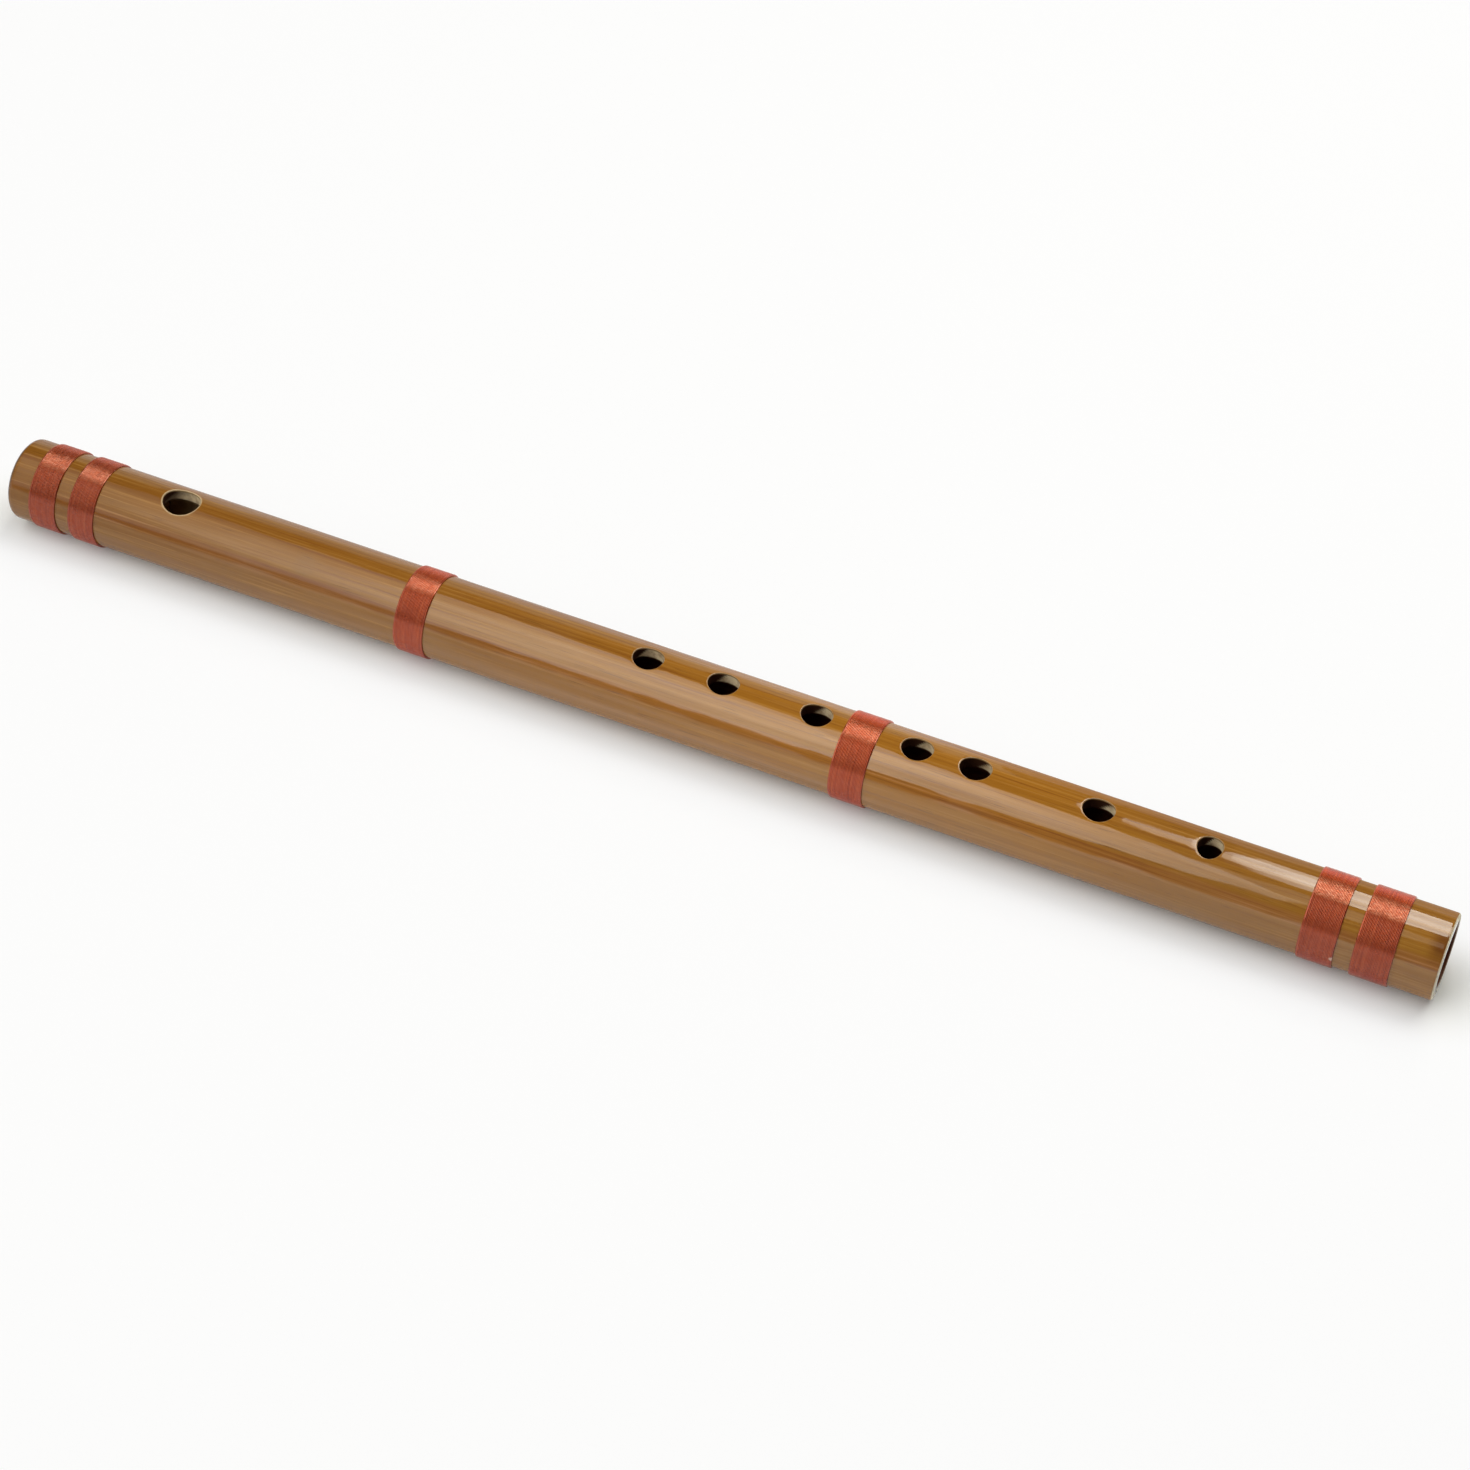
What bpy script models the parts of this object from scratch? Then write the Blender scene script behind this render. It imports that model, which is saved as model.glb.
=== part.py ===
# Seven-hole bamboo transverse flute (shinobue), lying on its thread bindings with its holes up.
#
# Metres, +Z up. The tube runs along X, its head end at -X and its foot end at +X.
# The origin is under the middle of the tube, on the surface that the bindings rest on.

import math

import bmesh
import bpy
from mathutils import Vector

# Tube
LENGTH = 0.400
OUTER_DIAMETER = 0.0225
BORE_DIAMETER = 0.0156
HEAD_EDGE_RADIUS = 0.0017
FOOT_EDGE_RADIUS = 0.0008
BORE_EDGE_RADIUS = 0.0004

# Holes, each placed by the distance of its centre from the head end
BLOW_HOLE_AT = 0.0495
BLOW_HOLE_LENGTH = 0.0103
BLOW_HOLE_WIDTH = 0.0089
FIRST_HOLE_AT = 0.1866
SECOND_HOLE_AT = 0.2077
THIRD_HOLE_AT = 0.2335
FOURTH_HOLE_AT = 0.2609
FIFTH_HOLE_AT = 0.2766
SIXTH_HOLE_AT = 0.3092
FINGER_HOLE_LENGTH = 0.0083
FINGER_HOLE_WIDTH = 0.0074
LAST_HOLE_AT = 0.3382
LAST_HOLE_LENGTH = 0.0065
LAST_HOLE_WIDTH = 0.0073

# Bindings, each placed by the distance of its centre from the nearer end of the tube
HEAD_OUTER_BINDING_AT = 0.0118
HEAD_OUTER_BINDING_WIDTH = 0.0080
HEAD_INNER_BINDING_AT = 0.0238
HEAD_INNER_BINDING_WIDTH = 0.0078
UPPER_BINDING_AT = 0.1225
UPPER_BINDING_WIDTH = 0.0085
MIDDLE_BINDING_AT = 0.2462
MIDDLE_BINDING_WIDTH = 0.0092
FOOT_INNER_BINDING_FROM_FOOT = 0.0300
FOOT_INNER_BINDING_WIDTH = 0.0092
FOOT_OUTER_BINDING_FROM_FOOT = 0.0162
FOOT_OUTER_BINDING_WIDTH = 0.0097

# The strand of each binding, wound in a shallow seat scraped round the tube
STRAND_DIAMETER = 0.0010
STRAND_PROUD = 0.00055
LEAST_TURN_GAP = 0.00042
SEAT_CLEARANCE = 0.0003

# Plug of the head end and stopper of the bore, both held in the bore
BORE_FIT_CLEARANCE = 0.0003
PLUG_LENGTH = 0.014
PLUG_SETBACK = 0.0006
PLUG_EDGE_RADIUS = 0.0008
PLUG_LEAD_IN = 0.0016
STOPPER_LENGTH = 0.013
STOPPER_TO_BLOW_HOLE_CENTRE = 0.0090
STOPPER_EDGE_RADIUS = 0.0005
STOPPER_DISH_DEPTH = 0.0007

# Facets
TUBE_SEGMENTS = 48
HOLE_SEGMENTS = 24
LOOP_POINTS = 24
EDGE_STEPS = 4

OUTER_RADIUS = OUTER_DIAMETER / 2
BORE_RADIUS = BORE_DIAMETER / 2
# The strand's centre line lies on this circle, and its seat clears the strand's inner side
TURN_RADIUS = OUTER_RADIUS + STRAND_PROUD - STRAND_DIAMETER / 2
SEAT_RADIUS = TURN_RADIUS - STRAND_DIAMETER / 2 - SEAT_CLEARANCE
# Each turn is cut flat where the flute lies on it, a tenth of the strand deep, in the middle
# of the straight run that is its lowest
RESTING_FLAT_DEPTH = STRAND_DIAMETER / 10
LOWEST_RUN_RADIUS = TURN_RADIUS * math.cos(math.pi / LOOP_POINTS)
AXIS_HEIGHT = LOWEST_RUN_RADIUS + STRAND_DIAMETER / 2 - RESTING_FLAT_DEPTH
# Both ends of a strand lie at the back of the tube, below the middle
STRAND_START_ANGLE = math.radians(-90) + math.pi / LOOP_POINTS * 9

BINDINGS = (
    ("head_outer_binding", HEAD_OUTER_BINDING_AT, HEAD_OUTER_BINDING_WIDTH),
    ("head_inner_binding", HEAD_INNER_BINDING_AT, HEAD_INNER_BINDING_WIDTH),
    ("upper_binding", UPPER_BINDING_AT, UPPER_BINDING_WIDTH),
    ("middle_binding", MIDDLE_BINDING_AT, MIDDLE_BINDING_WIDTH),
    ("foot_inner_binding", LENGTH - FOOT_INNER_BINDING_FROM_FOOT, FOOT_INNER_BINDING_WIDTH),
    ("foot_outer_binding", LENGTH - FOOT_OUTER_BINDING_FROM_FOOT, FOOT_OUTER_BINDING_WIDTH),
)

HOLES = (
    ("blow_hole", BLOW_HOLE_AT, BLOW_HOLE_LENGTH, BLOW_HOLE_WIDTH),
    ("first_hole", FIRST_HOLE_AT, FINGER_HOLE_LENGTH, FINGER_HOLE_WIDTH),
    ("second_hole", SECOND_HOLE_AT, FINGER_HOLE_LENGTH, FINGER_HOLE_WIDTH),
    ("third_hole", THIRD_HOLE_AT, FINGER_HOLE_LENGTH, FINGER_HOLE_WIDTH),
    ("fourth_hole", FOURTH_HOLE_AT, FINGER_HOLE_LENGTH, FINGER_HOLE_WIDTH),
    ("fifth_hole", FIFTH_HOLE_AT, FINGER_HOLE_LENGTH, FINGER_HOLE_WIDTH),
    ("sixth_hole", SIXTH_HOLE_AT, FINGER_HOLE_LENGTH, FINGER_HOLE_WIDTH),
    ("last_hole", LAST_HOLE_AT, LAST_HOLE_LENGTH, LAST_HOLE_WIDTH),
)


def clear_scene():
    for item in list(bpy.data.objects):
        bpy.data.objects.remove(item, do_unlink=True)


def principled(name, colour, roughness, metallic=0.0, coat=0.0):
    material = bpy.data.materials.new(name)
    material.use_nodes = True
    shader = material.node_tree.nodes["Principled BSDF"]
    shader.inputs["Base Color"].default_value = (*colour, 1.0)
    shader.inputs["Roughness"].default_value = roughness
    shader.inputs["Metallic"].default_value = metallic
    shader.inputs["Coat Weight"].default_value = coat
    material.diffuse_color = (*colour, 1.0)
    return material


def place(name, mesh, material, distance_from_head, parent):
    # The piece's own origin is on the tube's axis, at this distance from the head end.
    piece = bpy.data.objects.new(name, mesh)
    bpy.context.scene.collection.objects.link(piece)
    mesh.materials.append(material)
    mesh.shade_smooth()
    mesh.set_sharp_from_angle(angle=math.radians(35))
    piece.parent = parent
    piece.location = (distance_from_head - LENGTH / 2, 0, 0)
    return piece


def quarter_round(centre_x, centre_r, radius, start_degrees, end_degrees):
    # Points of a rounded edge in the (x, r) plane, from one angle to the other.
    points = []
    for step in range(EDGE_STEPS + 1):
        angle = math.radians(start_degrees + (end_degrees - start_degrees) * step / EDGE_STEPS)
        points.append((centre_x + radius * math.cos(angle), centre_r + radius * math.sin(angle)))
    return points


def turned(name, profile, closed):
    # Spins a profile of (x, r) points round the X axis.
    # An open profile starts and ends on the axis.
    mesh = bpy.data.meshes.new(name)
    shape = bmesh.new()
    corners = [shape.verts.new((x, 0, r)) for x, r in profile]
    pairs = list(zip(corners, corners[1:]))
    if closed:
        pairs.append((corners[-1], corners[0]))
    edges = [shape.edges.new(pair) for pair in pairs]
    bmesh.ops.spin(
        shape,
        geom=corners + edges,
        cent=(0, 0, 0),
        axis=(1, 0, 0),
        angle=2 * math.pi,
        steps=TUBE_SEGMENTS,
        use_merge=True,
    )
    bmesh.ops.remove_doubles(shape, verts=shape.verts, dist=1e-7)
    bmesh.ops.recalc_face_normals(shape, faces=shape.faces)
    shape.to_mesh(mesh)
    shape.free()
    return mesh


def tube_profile():
    # The wall's outline from the bore's head edge, out over the head end, along the outside
    # with the bindings' seats, over the foot end and back along the bore.
    profile = []
    profile += quarter_round(BORE_EDGE_RADIUS, BORE_RADIUS + BORE_EDGE_RADIUS, BORE_EDGE_RADIUS, 270, 180)
    profile += quarter_round(HEAD_EDGE_RADIUS, OUTER_RADIUS - HEAD_EDGE_RADIUS, HEAD_EDGE_RADIUS, 180, 90)
    for _, centre, width in BINDINGS:
        low = centre - width / 2 - SEAT_CLEARANCE
        high = centre + width / 2 + SEAT_CLEARANCE
        profile += [(low, OUTER_RADIUS), (low, SEAT_RADIUS), (high, SEAT_RADIUS), (high, OUTER_RADIUS)]
    profile += quarter_round(LENGTH - FOOT_EDGE_RADIUS, OUTER_RADIUS - FOOT_EDGE_RADIUS, FOOT_EDGE_RADIUS, 90, 0)
    profile += quarter_round(LENGTH - BORE_EDGE_RADIUS, BORE_RADIUS + BORE_EDGE_RADIUS, BORE_EDGE_RADIUS, 0, -90)
    return profile


def plug_profile():
    # A flat outer face with a rounded edge, and a tapered lead-in at the inner end.
    radius = BORE_RADIUS - BORE_FIT_CLEARANCE
    profile = [(0, 0)]
    profile += quarter_round(PLUG_EDGE_RADIUS, radius - PLUG_EDGE_RADIUS, PLUG_EDGE_RADIUS, 180, 90)
    profile += [
        (PLUG_LENGTH - PLUG_LEAD_IN, radius),
        (PLUG_LENGTH, radius - PLUG_LEAD_IN / 4),
        (PLUG_LENGTH, 0),
    ]
    return profile


def stopper_profile():
    # The face towards the blow hole is dished, and both edges are rounded.
    radius = BORE_RADIUS - BORE_FIT_CLEARANCE
    rim = radius - STOPPER_EDGE_RADIUS
    profile = [(-STOPPER_LENGTH, 0)]
    profile += quarter_round(STOPPER_EDGE_RADIUS - STOPPER_LENGTH, rim, STOPPER_EDGE_RADIUS, 180, 90)
    profile += quarter_round(-STOPPER_EDGE_RADIUS, rim, STOPPER_EDGE_RADIUS, 90, 0)
    for share in (0.75, 0.5, 0.25, 0.0):
        profile.append((-STOPPER_DISH_DEPTH * (1 - share * share), rim * share))
    return profile


def cut_hole(tube, name, distance_from_head, length, width):
    # An oval cutter from the tube's axis up through the top of the wall, its long side along the tube.
    depth = OUTER_DIAMETER
    mesh = bpy.data.meshes.new(name + "_cutter")
    shape = bmesh.new()
    bmesh.ops.create_cone(
        shape, cap_ends=True, segments=HOLE_SEGMENTS, radius1=0.5, radius2=0.5, depth=depth
    )
    bmesh.ops.scale(shape, verts=shape.verts, vec=(length, width, 1))
    bmesh.ops.translate(shape, verts=shape.verts, vec=(distance_from_head, 0, depth / 2))
    shape.to_mesh(mesh)
    shape.free()
    cutter = bpy.data.objects.new(name + "_cutter", mesh)
    bpy.context.scene.collection.objects.link(cutter)
    cutter.parent = tube.parent
    cutter.location = tube.location
    cutter.hide_render = True
    cutter.display_type = "WIRE"
    boolean = tube.modifiers.new(name, "BOOLEAN")
    boolean.operation = "DIFFERENCE"
    boolean.solver = "EXACT"
    boolean.object = cutter


def keep_cuts(piece):
    # Makes the cuts part of the piece's own mesh, so that the edges they leave are shaded sharp.
    cut = bpy.data.meshes.new_from_object(piece.evaluated_get(bpy.context.evaluated_depsgraph_get()))
    piece.modifiers.clear()
    cut.name = piece.name
    cut.set_sharp_from_angle(angle=math.radians(35))
    piece.data = cut


def resting_plane_cutter():
    # A slab whose top is the surface that the flute lies on, at z = 0.
    side = OUTER_DIAMETER
    mesh = bpy.data.meshes.new("resting_plane_cutter")
    shape = bmesh.new()
    bmesh.ops.create_cube(shape, size=1)
    bmesh.ops.scale(shape, verts=shape.verts, vec=(LENGTH, side, side))
    bmesh.ops.translate(shape, verts=shape.verts, vec=(0, 0, -side / 2))
    shape.to_mesh(mesh)
    shape.free()
    cutter = bpy.data.objects.new("resting_plane_cutter", mesh)
    bpy.context.scene.collection.objects.link(cutter)
    cutter.hide_render = True
    cutter.display_type = "WIRE"
    return cutter


def strand_points(width):
    # The centre line of one strand: as many whole turns as the width holds, evenly spaced.
    turns = max(1, int((width - STRAND_DIAMETER) / (STRAND_DIAMETER + LEAST_TURN_GAP) + 1e-6))
    advance = width - STRAND_DIAMETER
    count = turns * LOOP_POINTS
    points = []
    for index in range(count + 1):
        angle = STRAND_START_ANGLE + 2 * math.pi * index / LOOP_POINTS
        points.append(
            Vector((
                advance * (index / count - 0.5),
                TURN_RADIUS * math.cos(angle),
                TURN_RADIUS * math.sin(angle),
            ))
        )
    return points


def least_gap(points):
    # Distance between the surfaces of neighbouring turns, from points at least half a turn apart.
    nearest = min(
        (points[first] - points[second]).length
        for first in range(len(points))
        for second in range(first + LOOP_POINTS // 2, len(points))
    )
    return nearest - STRAND_DIAMETER


def wound_strand(name, width):
    # One unbroken tube along the strand's centre line, closed at both ends.
    points = strand_points(width)
    curve = bpy.data.curves.new(name, "CURVE")
    curve.dimensions = "3D"
    curve.bevel_depth = STRAND_DIAMETER / 2
    curve.bevel_resolution = 1
    curve.use_fill_caps = True
    spline = curve.splines.new("POLY")
    spline.points.add(len(points) - 1)
    for place_on_curve, point in zip(spline.points, points):
        place_on_curve.co = (*point, 1)
    print(f"{name}: {(len(points) - 1) // LOOP_POINTS} turns, least gap {least_gap(points) * 1000:.2f} mm")
    path = bpy.data.objects.new(name + "_path", curve)
    bpy.context.scene.collection.objects.link(path)
    mesh = bpy.data.meshes.new_from_object(path.evaluated_get(bpy.context.evaluated_depsgraph_get()))
    bpy.data.objects.remove(path, do_unlink=True)
    mesh.name = name
    shape = bmesh.new()
    shape.from_mesh(mesh)
    bmesh.ops.remove_doubles(shape, verts=shape.verts, dist=1e-7)
    bmesh.ops.recalc_face_normals(shape, faces=shape.faces)
    shape.to_mesh(mesh)
    shape.free()
    return mesh


clear_scene()

bamboo = principled("bamboo", (0.36, 0.17, 0.05), 0.32, coat=0.6)
red_thread = principled("red_thread", (0.38, 0.075, 0.04), 0.42, coat=0.3)
plug_wood = principled("plug_wood", (0.10, 0.045, 0.02), 0.40, coat=0.4)
cork = principled("cork", (0.42, 0.25, 0.12), 0.85)

flute = bpy.data.objects.new("flute", None)
flute.location = (0, 0, AXIS_HEIGHT)
bpy.context.scene.collection.objects.link(flute)

tube = place("bamboo_tube", turned("bamboo_tube", tube_profile(), True), bamboo, 0, flute)
for hole, distance, length, width in HOLES:
    cut_hole(tube, hole, distance, length, width)
keep_cuts(tube)

place("head_plug", turned("head_plug", plug_profile(), False), plug_wood, PLUG_SETBACK, flute)
place(
    "stopper",
    turned("stopper", stopper_profile(), False),
    cork,
    BLOW_HOLE_AT - STOPPER_TO_BLOW_HOLE_CENTRE,
    flute,
)

floor_cutter = resting_plane_cutter()
for binding, distance, width in BINDINGS:
    strand = place(binding, wound_strand(binding, width), red_thread, distance, flute)
    flat = strand.modifiers.new("resting_flat", "BOOLEAN")
    flat.operation = "DIFFERENCE"
    flat.solver = "EXACT"
    flat.object = floor_cutter
    keep_cuts(strand)
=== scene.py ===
import math

import bmesh
import bpy
import numpy as np
from mathutils import Matrix, Vector


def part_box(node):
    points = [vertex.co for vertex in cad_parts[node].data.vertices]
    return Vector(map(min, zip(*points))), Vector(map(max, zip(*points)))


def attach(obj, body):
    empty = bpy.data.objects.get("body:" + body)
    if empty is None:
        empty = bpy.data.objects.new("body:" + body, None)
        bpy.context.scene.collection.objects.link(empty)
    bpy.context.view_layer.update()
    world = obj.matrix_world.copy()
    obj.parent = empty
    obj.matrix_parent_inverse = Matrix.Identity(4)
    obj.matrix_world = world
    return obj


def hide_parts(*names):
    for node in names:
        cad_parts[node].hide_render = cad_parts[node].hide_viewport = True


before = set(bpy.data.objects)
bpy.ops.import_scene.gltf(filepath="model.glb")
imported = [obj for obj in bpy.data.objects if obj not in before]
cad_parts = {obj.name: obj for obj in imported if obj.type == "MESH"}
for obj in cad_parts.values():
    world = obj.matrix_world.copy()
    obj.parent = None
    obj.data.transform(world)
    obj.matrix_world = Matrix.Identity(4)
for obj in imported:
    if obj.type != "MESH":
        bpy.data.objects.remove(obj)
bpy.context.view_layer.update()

print("frame loaded:", sorted(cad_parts))

# Where the flute lies: its head end is at low X, and its axis is level, this high above the floor.
tubeLow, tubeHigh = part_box("bamboo_tube")
headX = tubeLow[0]
tubeLength = tubeHigh[0] - tubeLow[0]
axisHeight = (tubeLow[2] + tubeHigh[2]) / 2
tubeRadius = (tubeHigh[2] - tubeLow[2]) / 2
bindingNames = ["head_outer_binding", "head_inner_binding", "upper_binding",
                "middle_binding", "foot_inner_binding", "foot_outer_binding"]


# Mesh helpers

def quadsOf(grid, wrapRows=False, wrapColumns=False):
    # Quads between the neighbours of a grid of point numbers.
    if wrapRows:
        grid = np.concatenate([grid, grid[:1]])
    if wrapColumns:
        grid = np.concatenate([grid, grid[:, :1]], axis=1)
    return np.stack([grid[:-1, :-1], grid[:-1, 1:], grid[1:, 1:], grid[1:, :-1]], axis=-1).reshape(-1, 4)


def fanOf(centre, ring):
    # Triangles from a middle point to a closed ring of point numbers.
    return np.stack([np.full(len(ring), centre), ring, np.roll(ring, -1)], axis=-1)


def makePiece(name, points, faces, material, smoothAngle=40, marks=None):
    # Puts quads and triangles into a mesh, without the points that no face uses. Marks are
    # numbers per point that the material can read.
    used, place = np.unique(np.concatenate([group.ravel() for group in faces]), return_inverse=True)
    bounds = np.cumsum([0] + [group.size for group in faces])
    rows = [place[a:b].reshape(group.shape).tolist() for a, b, group in zip(bounds, bounds[1:], faces)]
    mesh = bpy.data.meshes.new(name)
    mesh.from_pydata(points[used].tolist(), [], [face for group in rows for face in group])
    shape = bmesh.new()
    shape.from_mesh(mesh)
    bmesh.ops.recalc_face_normals(shape, faces=shape.faces)
    shape.to_mesh(mesh)
    shape.free()
    for title, values in (marks or {}).items():
        mark = mesh.attributes.new(title, "FLOAT", "POINT")
        mark.data.foreach_set("value", values[used].astype(np.float32))
    mesh.shade_smooth()
    mesh.set_sharp_from_angle(angle=math.radians(smoothAngle))
    mesh.materials.append(material)
    piece = bpy.data.objects.new(name, mesh)
    bpy.context.scene.collection.objects.link(piece)
    return piece


def roundTube(x, radius, turn):
    # A point at this place along the tube, this far from its axis, turned from the top towards -Y.
    return np.stack([headX + x, -radius * np.sin(turn), axisHeight + radius * np.cos(turn)], axis=-1)


def quarterRound(centreX, centreR, radius, startDegrees, endDegrees, steps=8):
    # Points of a rounded edge in the (x, r) plane, from one angle to the other.
    angles = np.radians(np.linspace(startDegrees, endDegrees, steps + 1))
    return np.stack([centreX + radius * np.cos(angles), centreR + radius * np.sin(angles)], axis=1)


# Shader helpers

class Wire:
    # A socket that can stand in a sum.
    def __init__(self, tree, socket):
        self.tree, self.socket = tree, socket

    def math(self, operation, other=None, swap=False):
        node = self.tree.nodes.new("ShaderNodeMath")
        node.operation = operation
        values = (other, self) if swap else (self, other)
        for slot, value in zip(node.inputs, values):
            if value is not None:
                join(self.tree, slot, value)
        return Wire(self.tree, node.outputs[0])

    def __add__(self, other): return self.math("ADD", other)
    def __radd__(self, other): return self.math("ADD", other)
    def __sub__(self, other): return self.math("SUBTRACT", other)
    def __rsub__(self, other): return self.math("SUBTRACT", other, swap=True)
    def __mul__(self, other): return self.math("MULTIPLY", other)
    def __rmul__(self, other): return self.math("MULTIPLY", other)
    def __truediv__(self, other): return self.math("DIVIDE", other)
    def __rtruediv__(self, other): return self.math("DIVIDE", other, swap=True)
    def __neg__(self): return self.math("MULTIPLY", -1.0)


def join(tree, slot, value):
    if isinstance(value, Wire):
        tree.links.new(value.socket, slot)
    else:
        slot.default_value = value


class Nodes:
    # Makes the nodes of one tree.
    def __init__(self, tree):
        self.tree = tree

    def node(self, kind, settings=None, output=0, **inputs):
        made = self.tree.nodes.new("ShaderNode" + kind)
        for name, value in (settings or {}).items():
            if name == "stops":
                ramp = made.color_ramp
                while len(ramp.elements) < len(value):
                    ramp.elements.new(0.5)
                for element, (place, colour) in zip(ramp.elements, value):
                    element.position = place
                    element.color = (*colour, 1)
            else:
                setattr(made, name, value)
        for name, value in inputs.items():
            slot = int(name[1:]) if name[0] == "i" and name[1:].isdigit() else name.replace("_", " ")
            join(self.tree, made.inputs[slot], value)
        return Wire(self.tree, made.outputs[output])


class Finish(Nodes):
    # A material under construction: a Principled shader and the nodes that feed it.
    def __init__(self, name):
        self.material = bpy.data.materials.new(name)
        self.material.use_nodes = True
        super().__init__(self.material.node_tree)
        self.shader = self.tree.nodes["Principled BSDF"]

    def objectPlace(self):
        return self.node("TexCoord", output=3)

    def noise(self, scale, detail, roughness):
        # Grain of this many lumps to the metre along each axis.
        stretched = self.node("Mapping", Vector=self.objectPlace(), Scale=scale)
        return self.node("TexNoise", Vector=stretched, Scale=1.0, Detail=detail, Roughness=roughness)

    def ramp(self, value, stops):
        return self.node("ValToRGB", {"stops": stops}, Fac=value)

    def mix(self, factor, first, second, blend="MIX"):
        first, second = ((*shade, 1) if isinstance(shade, tuple) else shade for shade in (first, second))
        settings = {"data_type": "RGBA", "blend_type": blend}
        return self.node("Mix", settings, output=2, i0=factor, i6=first, i7=second)

    def tint(self, factor, colour, tone):
        return self.mix(factor, colour, tone, "MULTIPLY")

    def remap(self, value, low, high, toLow=0.0, toHigh=1.0, smooth=False):
        settings = {"interpolation_type": "SMOOTHSTEP"} if smooth else {}
        return self.node("MapRange", settings, i0=value, i1=low, i2=high, i3=toLow, i4=toHigh)

    def along(self):
        # Distance from the head end.
        return self.node("SeparateXYZ", Vector=self.objectPlace()) - headX

    def fromAxis(self):
        # Distance from the tube's axis: the length of the place once X is taken out.
        across = self.node("Mapping", Vector=self.objectPlace(), Scale=(0, 1, 1),
                           Location=(0, 0, -axisHeight))
        return self.node("VectorMath", {"operation": "LENGTH"}, output=1, i0=across)

    def fromTop(self):
        # Angle about the axis in radians, from the top towards -Y.
        across = self.node("SeparateXYZ", output=1, Vector=self.objectPlace())
        up = self.node("SeparateXYZ", output=2, Vector=self.objectPlace()) - axisHeight
        return (-across).math("ARCTAN2", up)

    def spot(self, x, turn, radius, soft):
        # A round mark on the skin: 1 within the radius, 0 beyond the soft edge.
        place = (headX + x, -tubeRadius * math.sin(turn), axisHeight + tubeRadius * math.cos(turn))
        far = self.node("VectorMath", {"operation": "DISTANCE"}, output=1, i0=self.objectPlace(), i1=place)
        return self.remap(far, radius, radius + soft, 1.0, 0.0, True)

    def bump(self, height, strength, distance):
        return self.node("Bump", Height=height, Strength=strength, Distance=distance)

    def set(self, **values):
        for name, value in values.items():
            join(self.tree, self.shader.inputs[name.replace("_", " ")], value)
        return self.material


# Camera

photoView = {
    "fromHeadEnd": (0.4450, -0.5279, 0.6826),  # camera from the middle of the head end
    "swingDegrees": 23.9,  # turned from +Y towards -X
    "tiltDegrees": 50.08,  # looks down by
    "rollOfFlute": 2.4,  # the flute lay turned about its own axis by this
    "lens": 85.3,
}


def makeCamera(view):
    data = bpy.data.cameras.new("photoCamera")
    data.sensor_width = 36.0
    data.sensor_height = 36.0
    data.lens = view["lens"]
    camera = bpy.data.objects.new("photoCamera", data)
    bpy.context.scene.collection.objects.link(camera)
    spot = Vector(view["fromHeadEnd"]) + Vector((headX, 0, 0))
    turn = Matrix.Rotation(math.radians(view["swingDegrees"]), 4, "Z")
    turn = turn @ Matrix.Rotation(math.radians(90 - view["tiltDegrees"]), 4, "X")
    roll = Matrix.Rotation(math.radians(view["rollOfFlute"]), 4, "X")
    camera.matrix_world = Matrix.Translation((0, 0, axisHeight)) @ roll @ Matrix.Translation(spot) @ turn
    bpy.context.scene.camera = camera


# Bamboo tube

bambooTube = {
    "boreRadius": 0.0078,
    "headCut": 0.0004,  # the head's face lies this far inside the part's own end
    "headEdge": 0.0020,
    "footEdge": 0.0008,
    "boreEdge": 0.0004,
    "around": 128,
    "windowSteps": 16,  # a hole's window reaches this many steps to either side of the top
    "windowReach": 0.0032,  # and this far beyond the hole's ends
    "windowRows": 16,
    "step": 0.003,  # between the plain rows of the wall
    "support": 0.00015,  # a row this close to each edge keeps the shading flat
    "seatMargin": 0.00002,
    "seatDepth": 0.00035,
    "holeEdge": 0.00022,
    "holeInnerEdge": 0.0002,
    "holeRings": (12, 5, 6, 4, 6),  # outside, outer edge, wall, inner edge, inside
    "dip": 0.000045,  # the skin sinks by this towards each hole's ends
    "dipReach": (0.0030, 0.0010),  # along the tube and across it
    "waviness": 0.00003,
    "ribs": 0.00005,
    "holes": [  # centre from the head end, length, width, where the bare part of its wall begins; that place is set per hole where light fell, so the dark part is partly painted shade
        (0.0496, 0.0104, 0.0090, -0.45),
        (0.1866, 0.0083, 0.0074, -0.20),
        (0.2077, 0.0083, 0.0074, 0.05),
        (0.2335, 0.0083, 0.0074, 0.40),
        (0.2609, 0.0083, 0.0074, 0.50),
        (0.2766, 0.0083, 0.0074, 0.80),
        (0.3092, 0.0083, 0.0074, 0.80),
        (0.3382, 0.0065, 0.0073, 0.20),
    ],
}


holeMarks = {
    "bareLitSlant": 0.8,  # the bare part of a wall widens downwards by this, along the slope of a cast shadow's edge
    "blowHole": {"bareLitSharpness": 1.1, "rimRings": 5, "rimShare": 0.8},
    "fingerHole": {"bareLitSharpness": 8, "rimRings": 3, "rimShare": 0.5},
}


def bindingSpan(name):
    low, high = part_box(name)
    return low[0] - headX, high[0] - headX


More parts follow.
